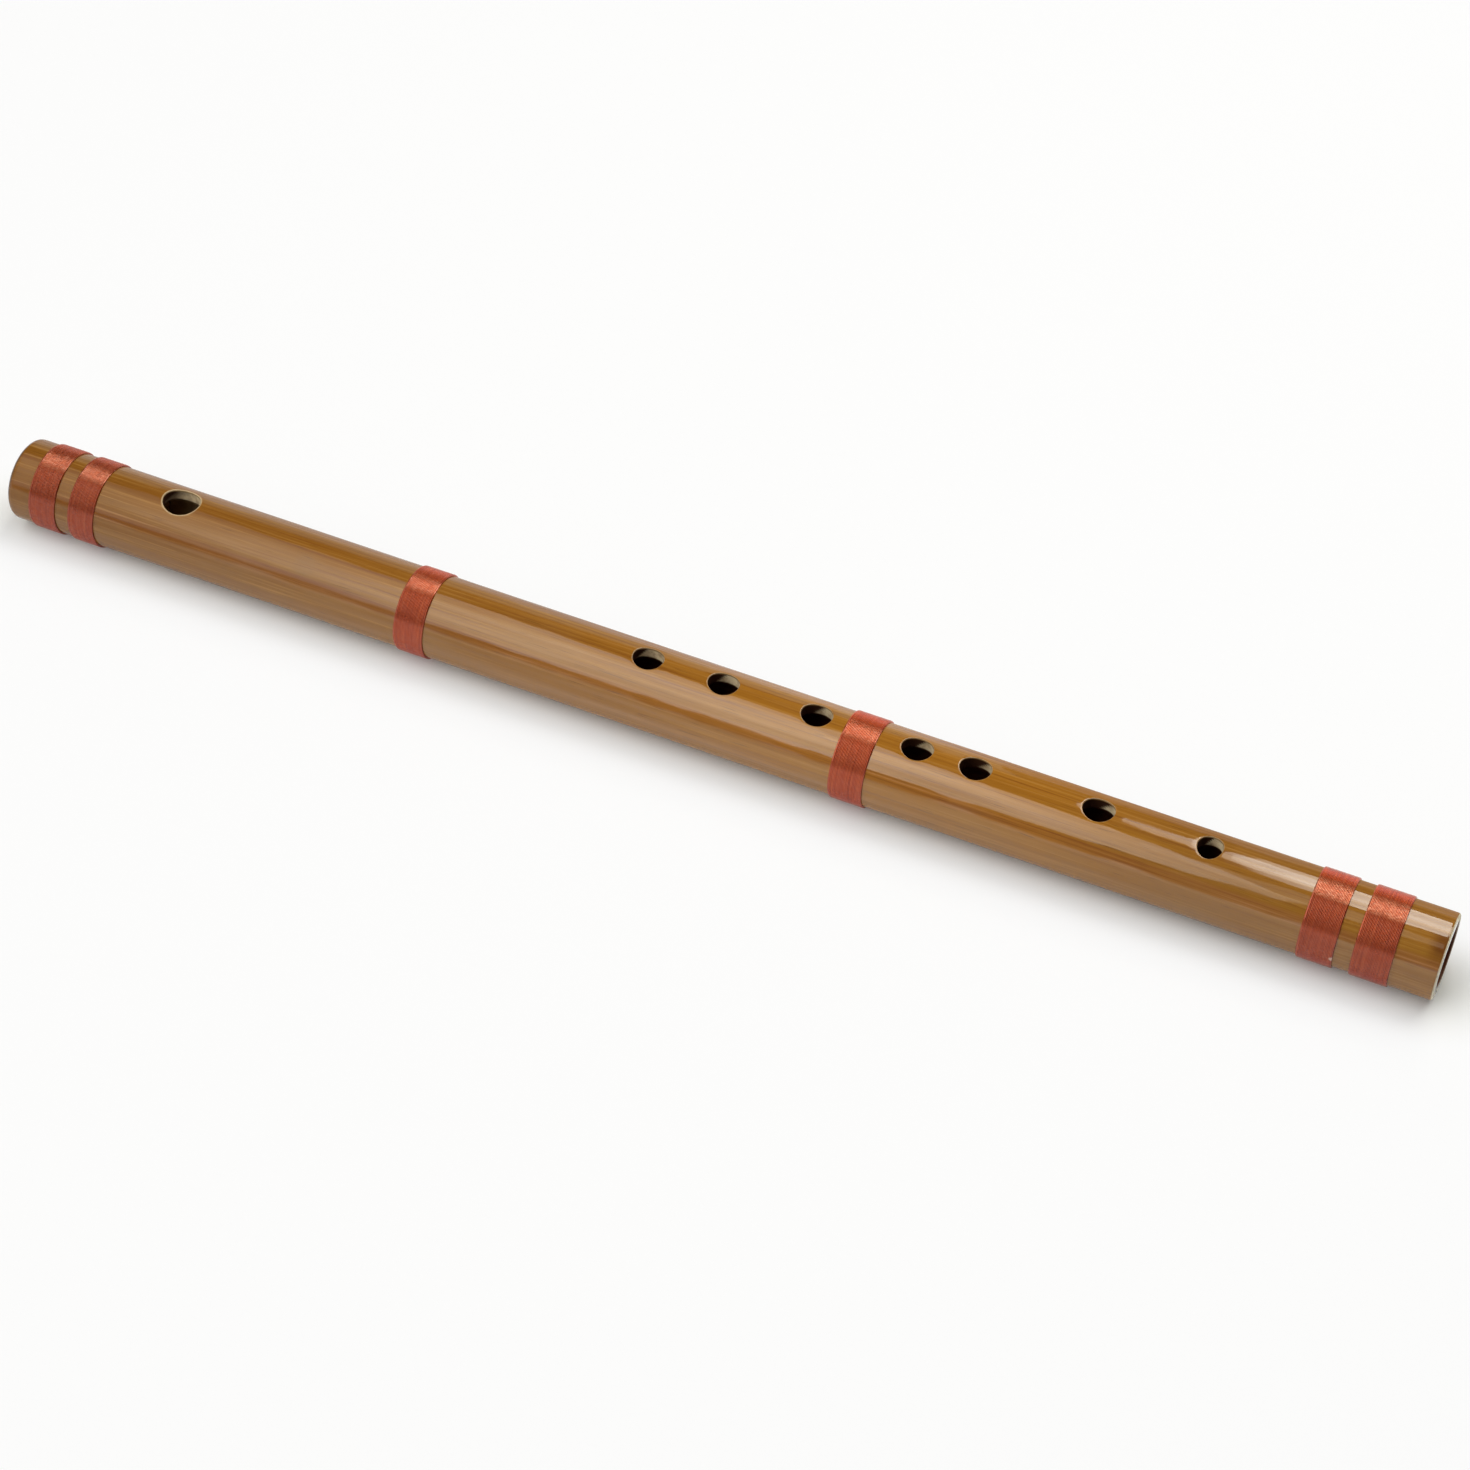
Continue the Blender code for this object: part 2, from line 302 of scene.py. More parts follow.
def skinSink(x, turn):
    # How far the skin lies below a true cylinder: long low waves that never rise above it, finer
    # ribs along the fibre that wander round the tube, and a dip round each hole that deepens as
    # the square of the nearness to the hole's ends.
    waves = (
        np.sin(x * 95 + 2 * np.sin(turn)) + np.sin(x * 210 - turn) + np.sin(x * 41 + 3 * turn + 1.3)
        + 0.6 * np.sin(5 * turn + x * 60 + 0.4)
    )
    wander = 1.5 * np.sin(x * 130 + 0.7) + 0.9 * np.sin(x * 283 + 2.1)
    ribs = (
        np.sin(11 * turn + wander) + np.sin(17 * turn - 1.3 * wander + 0.9)
        + 0.7 * np.sin(23 * turn + 0.8 * wander)
    )
    sink = bambooTube["waviness"] * (3.6 - waves) / 7.2 + bambooTube["ribs"] * (2.7 - ribs) / 5.4
    reach, reachAcross = bambooTube["dipReach"]
    for centre, length, width, _ in bambooTube["holes"]:
        outer = length / 2 + reach
        ratio = np.hypot((x - centre) / outer, tubeRadius * turn / (width / 2 + reachAcross))
        nearness = np.clip((1 - ratio) * outer / reach, 0, 1)
        sink = sink + bambooTube["dip"] * nearness ** 2
    return sink


def holeWindow(hole):
    centre, length = hole[:2]
    reach = length / 2 + bambooTube["windowReach"]
    return centre - reach, centre + reach


def tubeProfile():
    # The (x, r) outline of the wall, from the bore's head edge over the outside to the foot and
    # back along the bore. Rows that cross a hole's window carry the hole's number.
    headEdge, footEdge, inner = bambooTube["headEdge"], bambooTube["footEdge"], bambooTube["boreEdge"]
    cut = bambooTube["headCut"]
    bore, rows = bambooTube["boreRadius"], bambooTube["windowRows"]
    windows = [(*holeWindow(hole), number) for number, hole in enumerate(bambooTube["holes"])]
    margin = bambooTube["seatMargin"]
    seats = [(low - margin, high + margin, -1) for low, high in map(bindingSpan, bindingNames)]
    parts, numbers = [], []

    def add(part, number=-1):
        parts.append(np.asarray(part, dtype=float))
        numbers.append(np.full(len(part), number))

    def plain(start, end, radius):
        # Even steps between two places, both left out, with a row close to each of them that
        # keeps the shading of the stretch flat.
        count = max(1, int(round(abs(end - start) / bambooTube["step"])))
        support = bambooTube["support"] * np.sign(end - start)
        between = np.linspace(start, end, count + 1)[1:-1]
        places = np.concatenate([[start + support], between, [end - support]])
        return np.stack([places, np.full(len(places), radius)], 1)

    add(quarterRound(cut + inner, bore + inner, inner, 270, 180, 4))
    add(quarterRound(cut + headEdge, tubeRadius - headEdge, headEdge, 180, 90))
    at = cut + headEdge
    for low, high, number in sorted(windows + seats):
        add(plain(at, low, tubeRadius))
        if number < 0:
            seat = tubeRadius - bambooTube["seatDepth"]
            add([(low, tubeRadius), (low, seat), (high, seat), (high, tubeRadius)])
        else:
            places = np.linspace(low, high, rows + 1)
            add(np.stack([places, np.full(rows + 1, tubeRadius)], 1), number)
        at = high
    add(plain(at, tubeLength - footEdge, tubeRadius))
    add(quarterRound(tubeLength - footEdge, tubeRadius - footEdge, footEdge, 90, 0))
    add(quarterRound(tubeLength - inner, bore + inner, inner, 0, -90, 4))
    at = tubeLength - inner
    for low, high, number in sorted(windows, reverse=True):
        add(plain(at, high, bore))
        places = np.linspace(high, low, rows + 1)
        add(np.stack([places, np.full(rows + 1, bore)], 1), number)
        at = low
    add(plain(at, cut + inner, bore))
    return np.concatenate(parts), np.concatenate(numbers)


def borderOf(rows, columns):
    # Walks once round the border of a block of rows and columns.
    a, b = len(rows), len(columns)
    walk = [(rows[-1], columns[:-1], b - 1), (rows[::-1][:-1], columns[-1], a - 1),
            (rows[0], columns[::-1][:-1], b - 1), (rows[:-1], columns[0], a - 1)]
    r = np.concatenate([np.broadcast_to(row, count) for row, _, count in walk])
    c = np.concatenate([np.broadcast_to(column, count) for _, column, count in walk])
    return r, c


def makeTube(material):
    # The wall is its profile carried round the axis. Each hole has a window in both faces, left
    # open in the grid and filled by rings that pass from the window's border to the hole's oval.
    # The hole's own wall runs straight down between the two ovals, with rounded edges.
    around, steps = bambooTube["around"], bambooTube["windowSteps"]
    edge, innerEdge, bore = bambooTube["holeEdge"], bambooTube["holeInnerEdge"], bambooTube["boreRadius"]
    outsideRings, edgeRings, wallRings, innerEdgeRings, insideRings = bambooTube["holeRings"]
    profile, window = tubeProfile()
    count = len(profile)
    turn = (np.arange(around) * 2 / around * math.pi + math.pi) % (2 * math.pi) - math.pi
    x, r = profile[:, :1], profile[:, 1:]
    skin = r > tubeRadius - 0.0001
    radius = r - np.where(skin, skinSink(x, turn[None, :]), 0)
    x, turns = np.broadcast_to(x, radius.shape), np.broadcast_to(turn, radius.shape)
    points = [roundTube(x, radius, turns).reshape(-1, 3)]
    bareLitMark, rim = [np.zeros(len(points[0]))], [np.zeros(len(points[0]))]
    grid = np.arange(count * around).reshape(count, around)
    quads = quadsOf(grid, True, True).reshape(count, around, 4)
    rowInWindow = (window >= 0) & (window == np.roll(window, -1))
    columnInWindow = (np.arange(around) < steps) | (np.arange(around) >= around - steps)
    faces = [quads[~(rowInWindow[:, None] & columnInWindow[None, :])]]
    total = count * around
    columns = np.arange(-steps, steps + 1) % around
    for number, hole in enumerate(bambooTube["holes"]):
        centre, length, width, bareLitFrom = hole
        inWindow = np.flatnonzero(window == number)
        outerRows = inWindow[: len(inWindow) // 2]
        innerRows = inWindow[len(inWindow) // 2:][::-1]
        borderRows, borderColumns = borderOf(outerRows, columns)
        outerBorder = grid[borderRows, borderColumns]
        innerBorder = grid[borderOf(innerRows, columns)]
        borderX, borderTurn = profile[borderRows, 0], turn[borderColumns]
        reach = steps * 2 * math.pi / around
        angle = np.arctan2(borderTurn / reach, (borderX - centre) / (profile[outerRows[-1], 0] - centre))

        def oval(widen):
            # The hole's oval, wider by this much, as (x, y) seen from above.
            return centre + (length / 2 + widen) * np.cos(angle), (width / 2 + widen) * np.sin(angle)

        rings = []
        ovalX, ovalY = oval(edge)
        ovalTurn = np.arcsin(ovalY / tubeRadius)
        for share in np.linspace(0, 1, outsideRings + 1)[1:-1] ** 0.85:  # closer together at the oval
            ringX = borderX + (ovalX - borderX) * share
            ringTurn = borderTurn + (ovalTurn - borderTurn) * share
            rings.append(roundTube(ringX, tubeRadius - skinSink(ringX, ringTurn), ringTurn))

        def cutRing(widen, height):
            ringX, ringY = oval(widen)
            return np.stack([headX + ringX, -ringY, axisHeight + height(ringX, ringY)], axis=-1)

        def skinHeight(ringX, ringY):
            sunk = tubeRadius - skinSink(ringX, np.arcsin(ringY / tubeRadius))
            return np.sqrt(sunk ** 2 - ringY ** 2)

        for bend in np.linspace(0, math.pi / 2, edgeRings + 1):
            widen, drop = edge * (1 - math.sin(bend)), edge * (1 - math.cos(bend))
            rings.append(cutRing(widen, lambda ringX, ringY: skinHeight(ringX, ringY) - drop))
        top = rings[-1]
        bottom = cutRing(0, lambda ringX, ringY: np.sqrt(bore ** 2 - ringY ** 2) + innerEdge)
        rings += [top + (bottom - top) * share for share in np.linspace(0, 1, wallRings + 1)[1:]]
        for bend in np.linspace(math.pi / 2, 0, innerEdgeRings + 1)[1:]:
            widen, rise = innerEdge * (1 - math.sin(bend)), innerEdge * (1 - math.cos(bend))
            rings.append(cutRing(widen, lambda ringX, ringY: np.sqrt(bore ** 2 - ringY ** 2) + rise))
        ovalX, ovalY = oval(innerEdge)
        ovalTurn = np.arcsin(ovalY / bore)
        for share in np.linspace(0, 1, insideRings + 1)[1:-1]:
            ringTurn = ovalTurn + (borderTurn - ovalTurn) * share
            rings.append(roundTube(ovalX + (borderX - ovalX) * share, np.full(len(angle), bore), ringTurn))
        own = total + np.arange(len(rings) * len(angle)).reshape(len(rings), len(angle))
        depth = (tubeRadius + axisHeight - np.array(rings)[:, :, 2]) / (tubeRadius - bore)
        marks = holeMarks["blowHole" if number == 0 else "fingerHole"]
        # painted light and shade: the bare part's edge per hole, its slant and its sharpness follow the lit
        # part and the rim's shadow
        bareLitSide = (np.cos(angle) + holeMarks["bareLitSlant"] * depth - bareLitFrom) * marks["bareLitSharpness"]
        farSide = np.clip(0.6 - np.sin(angle) * 4, 0, 1)  # the near side of the wall stays lacquered
        bareLitMark.append((np.clip(bareLitSide, 0, 1) * farSide).ravel())
        fromEdge = outsideRings + edgeRings - 1 - np.arange(len(rings))
        pale = (fromEdge >= 0) & (fromEdge <= marks["rimRings"])
        rim.append(np.where(pale, marks["rimShare"], 0.0).repeat(len(angle)))
        faces.append(quadsOf(np.concatenate([outerBorder[None], own, innerBorder[None]]), False, True))
        points += rings
        total += own.size
    return makePiece("bambooWall", np.concatenate(points), faces, material, 40,
                     {"bareWall": np.concatenate(bareLitMark), "holeRim": np.concatenate(rim)})


bambooColours = {
    # tones along the flute: the darker head is partly the bamboo's own tone and partly painted shade
    "head": (0.230, 0.092, 0.013),
    "upper": (0.300, 0.122, 0.016),
    "middle": (0.375, 0.152, 0.015),
    "foot": (0.310, 0.130, 0.018),
    "darkFibre": (0.20, 0.062, 0.009),
    "paleFibre": (0.50, 0.25, 0.065),
    "darkStreak": (0.22, 0.078, 0.010),
    "paleStreak": (0.44, 0.20, 0.045),
    "darkPatch": (0.21, 0.075, 0.009),
    "palePatch": (0.36, 0.20, 0.075),
    "fleck": (0.10, 0.035, 0.008),
    "paintedFrontSheen": (1.16, 1.24, 1.35),  # the side towards the player is painted paler: a painted reflection of the front lamp
    "lowFootTone": (0.88, 0.84, 0.70),  # and low down near the foot it is darker
    "paintedReflectionLineTone": (1.02, 0.96, 1.60),  # with a greyer line along its middle: painted light that softens the dark reflected line
    "smudge": (0.20, 0.13, 0.07),
    "stain": (0.12, 0.030, 0.008),
    "rim": (0.62, 0.47, 0.28),
    "bareWall": (0.95, 0.79, 0.55),
    "dirtyWall": (0.42, 0.27, 0.15),
    "shadedDarkWall": (0.055, 0.021, 0.011),
    "mouthBore": (0.36, 0.24, 0.13),
    "boreLacquer": (0.130, 0.042, 0.020),
    "cutFace": (0.78, 0.70, 0.50),
    "cutPores": (0.30, 0.20, 0.10),
    "headFaceShade": ((0.05, 0.022, 0.010), (0.16, 0.08, 0.03)),
}
bambooMarks = {  # places from the head end, depths from the foot and turns from the top
    "smudge": (0.090, 0.62, 0.0005, 0.0045),  # place, turn, radius, soft edge
    "stainDepths": (0.0055, 0.0014),
    "boreChange": (0.057, 0.061),  # behind the mouth the bore is lacquered
    "worn": (0.255, 0.300),
    "glossGrows": (0.03, 0.22),
}


def bambooFinish():
    finish, shades = Finish("lacqueredBamboo"), bambooColours
    along, fromAxis, turned = finish.along(), finish.fromAxis(), finish.fromTop()
    fibre = finish.noise((16, 1300, 1300), 5, 0.6)
    streak = finish.noise((9, 520, 520), 5, 0.62)
    broad = finish.noise((7, 170, 170), 3, 0.5)
    cloud = finish.noise((22, 60, 60), 3, 0.5)
    fleck = finish.noise((120, 3200, 3200), 2, 0.4)

    # The skin: its tone along the flute, darker at the head partly as painted shade, then fibres, streaks,
    # patches and flecks.
    colour = finish.ramp(along / tubeLength, [(0.05, shades["head"]), (0.36, shades["upper"]),
                                              (0.58, shades["middle"]), (0.74, shades["middle"]),
                                              (0.84, shades["foot"])])
    calm = finish.remap(turned, 0.90, 1.25, 1.0, 0.4, True)
    for mask, shade in (
        (finish.remap(fibre, 0.47, 0.34, 0.0, 0.75) * calm, "darkFibre"),
        (finish.remap(fibre, 0.53, 0.68, 0.0, 0.50), "paleFibre"),
        (finish.remap(streak, 0.50, 0.68, 0.0, 0.40) * calm, "darkStreak"),
        (finish.remap(streak, 0.46, 0.30, 0.0, 0.30), "paleStreak"),
        (finish.remap(broad, 0.50, 0.72, 0.0, 0.40), "darkPatch"),
        (finish.remap(cloud, 0.50, 0.75, 0.0, 0.25), "palePatch"),
        (finish.remap(fleck, 0.66, 0.74, 0.0, 0.5), "fleck"),
    ):
        colour = finish.mix(mask, colour, shades[shade])
    # Painted reflection: the side towards the player is paler and bluer, standing in for the front lamp's
    # broad pale band.
    colour = finish.tint(finish.remap(turned, 0.15, 0.55, smooth=True), colour, shades["paintedFrontSheen"])
    lowFoot = finish.remap(turned, 1.10, 1.60, smooth=True) * finish.remap(along, 0.20, 0.33, smooth=True)
    colour = finish.tint(lowFoot, colour, shades["lowFootTone"])
    # Painted reflection: a greyer band that lightens the dark line reflected along the middle of the front.
    paintedReflectionLine = finish.remap(turned, 0.80, 0.90) * finish.remap(turned, 1.14, 1.04)
    colour = finish.tint(paintedReflectionLine, colour, shades["paintedReflectionLineTone"])
    smudge = finish.spot(*bambooMarks["smudge"]) * finish.remap(fibre, 0.40, 0.65)
    colour = finish.mix(smudge * 0.45, colour, shades["smudge"])
    stainStart, stainFull = (tubeLength - depth for depth in bambooMarks["stainDepths"])
    stained = finish.remap(along, stainStart, stainFull, smooth=True) * finish.remap(turned, 0.17, 0.32)
    stained = stained * finish.remap(turned, 1.05, 0.62) * finish.remap(broad, 0.25, 0.48, 0.5, 1.0)
    colour = finish.mix(stained * 0.75, colour, shades["stain"])

    # The holes: a pale rim, and a wall that is bare and dirty on one side and dark on the other. The split is
    # placed where light and shade fell in each hole, so the bare side is partly painted light and the dark
    # side partly painted shade.
    rim = finish.node("Attribute", {"attribute_name": "holeRim"}, output=2)
    colour = finish.mix(rim, colour, shades["rim"])
    bareLitMark = finish.node("Attribute", {"attribute_name": "bareWall"}, output=2)
    mottle = finish.noise((420, 420, 420), 4, 0.6)
    dirt = finish.remap(mottle, 0.42, 0.66, 0.0, 0.7)
    wallColour = finish.mix(dirt, shades["bareWall"], shades["dirtyWall"])
    wallColour = finish.mix(bareLitMark * finish.remap(fromAxis, 0.0080, 0.0084), shades["shadedDarkWall"], wallColour)
    notEnds = finish.remap(along, 0.0035, 0.0045)
    notEnds = notEnds * finish.remap(along, tubeLength - 0.0045, tubeLength - 0.0035, 1, 0)
    holeWall = finish.remap(fromAxis, tubeRadius - 0.00045, tubeRadius - 0.00065) * notEnds
    colour = finish.mix(holeWall, colour, wallColour)

    # The ends and the bore.
    pores = finish.noise((300, 2600, 2600), 2, 0.5)
    cut = finish.mix(finish.remap(pores, 0.55, 0.72, 0.0, 0.6), shades["cutFace"], shades["cutPores"])
    cut = finish.mix(finish.remap(fromAxis, 0.0096, 0.0090, 0.0, 0.85), cut, shades["stain"])
    colour = finish.mix(finish.remap(along, tubeLength - 0.00045, tubeLength - 0.00025), colour, cut)
    # The head end's last 1.4 mm is darkened: partly dark lacquer on the end, partly painted shade where the
    # rounded edge turns away.
    headFaceShade = finish.remap(along, 0.0018, 0.0014)
    colour = finish.mix(headFaceShade * 0.8, colour, finish.mix(pores, *shades["headFaceShade"]))
    pastMouth = finish.remap(along, *bambooMarks["boreChange"])
    bore = finish.mix(pastMouth, shades["mouthBore"], shades["boreLacquer"])
    colour = finish.mix(finish.remap(fromAxis, 0.00800, 0.00788), colour, bore)

    # The lacquer: uneven, thin near the head, worn off behind the middle binding.
    worn = finish.remap(along, *bambooMarks["worn"], 0.35, 0.85, True)
    worn = worn * finish.remap(turned, -0.28, -0.42, smooth=True)
    farEdge = finish.remap(turned, -0.50, -0.64, 0.0, 0.6, True)
    lowEdge = finish.remap(turned, 1.55, 2.05, 0.0, 0.75, True)
    coat = (1 - worn) * (1 - farEdge) * (1 - lowEdge) * (1 - holeWall * 0.9) * (1 - lowFoot * 0.25)
    coat = coat * finish.remap(along, *bambooMarks["glossGrows"], 0.5, 0.95)
    coat = coat * finish.remap(streak, 0.36, 0.64, 1.12, 0.72) * finish.remap(fibre, 0.35, 0.65, 1.1, 0.85)
    roughness = finish.remap(streak, 0.3, 0.8, 0.08, 0.20) + holeWall * 0.5 + worn * 0.4
    grain = finish.bump(fibre * 0.5 + streak * 0.5, 0.12, 0.0003)
    return finish.set(Base_Color=colour, Roughness=roughness, Specular_IOR_Level=0.05, Coat_Weight=coat,
                      Coat_Roughness=0.045, Coat_IOR=1.65, Normal=grain)


# Thread bindings

threadBinding = {
    "halfWidth": 0.00018,  # of the thread's oval section, along the tube
    "halfHeight": 0.00010,
    "pointsPerTurn": 96,
    "sides": 8,
    "startDegrees": 150,  # where the thread starts, out of sight
    "overlap": 0.97,  # each turn's advance as a share of the thread's width
    "unevenness": 0.00003,
    "sleeveEdge": 0.00014,
    "sleeveSides": 144,
    "shadedEdgeWidth": 0.00020,  # the lacquer is dark for this far from the edges of a binding: partly a lacquer bead, partly painted shade where the binding meets the bamboo
}


def makeThread(name, material):
    # One thread as a helix: its centre runs round the tube at an even advance, and its oval
    # section is set out on the radial and the lengthwise direction at each point.
    low, high = bindingSpan(name)
    nodeLow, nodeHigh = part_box(name)
    top = nodeHigh[2] - axisHeight
    halfWidth, halfHeight = threadBinding["halfWidth"], threadBinding["halfHeight"]
    turns = int(round((high - low - 2 * halfWidth) / (2 * halfWidth * threadBinding["overlap"])))
    count = turns * threadBinding["pointsPerTurn"] + 1
    sides = threadBinding["sides"]
    progress = np.linspace(0, 1, count)
    turn = math.radians(threadBinding["startDegrees"]) + 2 * math.pi * turns * progress
    x = low + halfWidth + (high - low - 2 * halfWidth) * progress
    section = np.arange(sides) * 2 * math.pi / sides
    sunk = threadBinding["unevenness"] * (0.5 + 0.5 * np.sin(turn * 1.73 + 4 * np.sin(turn * 0.31)))
    centre = top - halfHeight - sunk
    radius = centre[:, None] + halfHeight * np.cos(section)
    places = x[:, None] + halfWidth * np.sin(section)
    points = roundTube(places, radius, np.broadcast_to(turn[:, None], radius.shape)).reshape(-1, 3)
    ends = np.array([roundTube(x[0], centre[0], turn[0]), roundTube(x[-1], centre[-1], turn[-1])])
    points = np.concatenate([points, ends])
    points[:, 2] = np.maximum(points[:, 2], nodeLow[2] + 0.00001)
    grid = np.arange(count * sides).reshape(count, sides)
    faces = [quadsOf(grid, False, True), fanOf(count * sides, grid[0]), fanOf(count * sides + 1, grid[-1])]
    fromEdge = np.minimum(points[:, 0] - headX - low, high - points[:, 0] + headX)
    edge = np.clip(1.5 - fromEdge / threadBinding["shadedEdgeWidth"], 0, 1) * 0.7
    return makePiece(name + "_thread", points, faces, material, 60, {"bindingEdge": edge})


def makeSleeve(name, material):
    # The layer of thread below: a turned ring whose low rounded profile fills the seat.
    low, high = bindingSpan(name)
    nodeLow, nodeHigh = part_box(name)
    top = nodeHigh[2] - axisHeight - threadBinding["halfHeight"] * 1.2
    bottom = tubeRadius - bambooTube["seatDepth"] + 0.00005
    ease = threadBinding["sleeveEdge"]
    profile = np.concatenate([
        quarterRound(low + ease, bottom + ease, ease, 270, 180, 3),
        quarterRound(low + ease, top - ease, ease, 180, 90, 3),
        quarterRound(high - ease, top - ease, ease, 90, 0, 3),
        quarterRound(high - ease, bottom + ease, ease, 0, -90, 3),
    ])
    around = threadBinding["sleeveSides"]
    turn = np.arange(around) * 2 * math.pi / around
    shape = (len(profile), around)
    points = roundTube(np.broadcast_to(profile[:, :1], shape), np.broadcast_to(profile[:, 1:], shape),
                       np.broadcast_to(turn, shape)).reshape(-1, 3)
    points[:, 2] = np.maximum(points[:, 2], nodeLow[2] + 0.00002)
    faces = [quadsOf(np.arange(points.shape[0]).reshape(shape), True, True)]
    # the sleeve, under the turns and at the binding's ends, takes half the dark edge colour, partly as
    # painted shade
    edge = np.full(len(points), 0.5)
    return makePiece(name + "_sleeve", points, faces, material, 40, {"bindingEdge": edge})


threadColours = {
    "shade": (0.31, 0.040, 0.009),
    "body": (0.43, 0.064, 0.014),
    "shine": (0.54, 0.115, 0.034),
    "edge": (0.28, 0.048, 0.014),
    "paintedHighlight": (0.78, 0.33, 0.19),
    "paintedFarGlow": (1.36, 1.22, 0.95),  # the side away from the player is painted brighter: a painted glow of the back lamps above the highlight
    "edgeTint": (1.0, 0.42, 0.28),
    "toneAlong": [(0.06, (0.84, 0.84, 0.84)), (0.5, (1.16, 1.16, 1.16)), (0.95, (1.0, 1.0, 1.0))],
    "bead": (0.85, 0.62, 0.52),
    "beads": [  # dried drops of lacquer: place from the head end, turn from the top, radius
        (0.3744, 1.66, 0.00050),
        (0.3742, 0.31, 0.00018),
        (0.0276, -0.22, 0.00016),
    ],
}


def threadFinish():
    finish, shades = Finish("lacqueredThread"), threadColours
    along, turned = finish.along(), finish.fromTop()
    mottle = finish.noise((260, 260, 260), 4, 0.6)
    strand = finish.noise((3400, 60, 60), 3, 0.6)
    fleck = finish.noise((900, 1700, 1700), 3, 0.6)
    colour = finish.ramp(strand, [(0.28, shades["shade"]), (0.5, shades["body"]), (0.74, shades["shine"])])
    colour = finish.mix(finish.remap(mottle, 0.45, 0.75, 0.0, 0.4), colour, shades["shade"])
    # Dark edges of each binding: partly a lacquer bead, partly painted shade where the binding meets the
    # bamboo.
    edge = finish.node("Attribute", {"attribute_name": "bindingEdge"}, output=2)
    colour = finish.mix(finish.remap(edge, 0.3, 0.9, 0.0, 0.85), colour, shades["edge"])
    colour = finish.tint(1.0, colour, finish.ramp(along / tubeLength, shades["toneAlong"]))
    # Painted highlight: a flecked bright band along the top of the bindings, stronger towards the foot,
    # standing in for the back lamp's reflection.
    paintedHighlightBand = finish.remap(turned, -0.20, -0.06, smooth=True) * finish.remap(turned, 0.37, 0.29, smooth=True)
    paintedHighlightMask = finish.remap(fleck, 0.46, 0.68, 0.3, 1.0) * paintedHighlightBand * finish.remap(along, 0.24, 0.36, 0.36, 0.66)
    colour = finish.mix(paintedHighlightMask, colour, shades["paintedHighlight"])
    for x, turn, radius in shades["beads"]:
        colour = finish.mix(finish.spot(x, turn, radius, radius) * 0.85, colour, shades["bead"])
    # Painted shade: the underside of the bindings is darker, more so towards the foot.
    dim = finish.remap(along, 0.20, 0.36, 0.94, 0.80)
    paintedUndersideShade = finish.remap(turned, 1.00, 1.30, smooth=True)
    shadedColour = finish.tint(1.0, colour, finish.node("CombineColor", i0=dim, i1=dim, i2=dim))
    colour = finish.mix(paintedUndersideShade, colour, shadedColour)
    # Painted light: the side away from the player, above the highlight, is brighter and more orange.
    far = finish.remap(turned, -0.64, -0.46, smooth=True) * finish.remap(turned, -0.14, -0.24, smooth=True)
    far = far * finish.remap(along, 0.05, 0.36, 0.25, 1.0)
    colour = finish.tint(far, colour, shades["paintedFarGlow"])
    roughness = finish.remap(mottle, 0.3, 0.8, 0.21, 0.30)
    gloss = finish.remap(fleck, 0.35, 0.65, 0.24, 0.42)
    twist = finish.bump(strand * 0.6 + mottle * 0.4, 0.25, 0.0001)
    return finish.set(Base_Color=colour, Metallic=0.6, Roughness=roughness, Specular_IOR_Level=0.1,
                      Specular_Tint=(*shades["edgeTint"], 1), Coat_Weight=gloss, Coat_Roughness=0.14,
                      Coat_IOR=2.0, Normal=twist)


# Head plug and stopper: the CAD solids stay, with a finish of their own

headPlug = {
    "woods": [(0.3, (0.034, 0.012, 0.005)), (0.7, (0.140, 0.058, 0.022))],
    "ringSpacing": 0.0012083,
}
corkStopper = {
    "corks": [(0.3, (0.22, 0.11, 0.045)), (0.6, (0.47, 0.28, 0.13)), (0.8, (0.58, 0.38, 0.20))],
    "pores": (0.09, 0.04, 0.02),
}


def plugFinish():
    # Turned dark wood: fine rings about the axis, broken up by fibre.
    finish = Finish("darkTurnedWood")
    fibre = finish.noise((400, 1500, 260), 5, 0.6)
    rings = finish.fromAxis() * (2 * math.pi / headPlug["ringSpacing"]) + fibre * 3
    tooling = rings.math("SINE") * 0.5 + 0.5
    colour = finish.ramp(fibre * 0.75 + tooling * 0.25, headPlug["woods"])
    return finish.set(Base_Color=colour, Roughness=finish.remap(fibre, 0.3, 0.8, 0.42, 0.6),
                      Coat_Weight=0.12, Coat_Roughness=0.1, Normal=finish.bump(tooling + fibre, 0.12, 0.0001))


def corkFinish():
    # Cork: pale grain broken by dark pores.
    finish = Finish("grainyCork")
    grain = finish.noise((900, 900, 900), 5, 0.65)
    pores = finish.noise((2200, 2200, 2200), 2, 0.5)
    colour = finish.ramp(grain, corkStopper["corks"])
    colour = finish.mix(finish.remap(pores, 0.6, 0.7, 0.0, 0.8), colour, corkStopper["pores"])
    return finish.set(Base_Color=colour, Roughness=finish.remap(grain, 0.3, 0.8, 0.75, 0.95),
                      Normal=finish.bump(grain + pores, 0.4, 0.0003))


# Stage and light

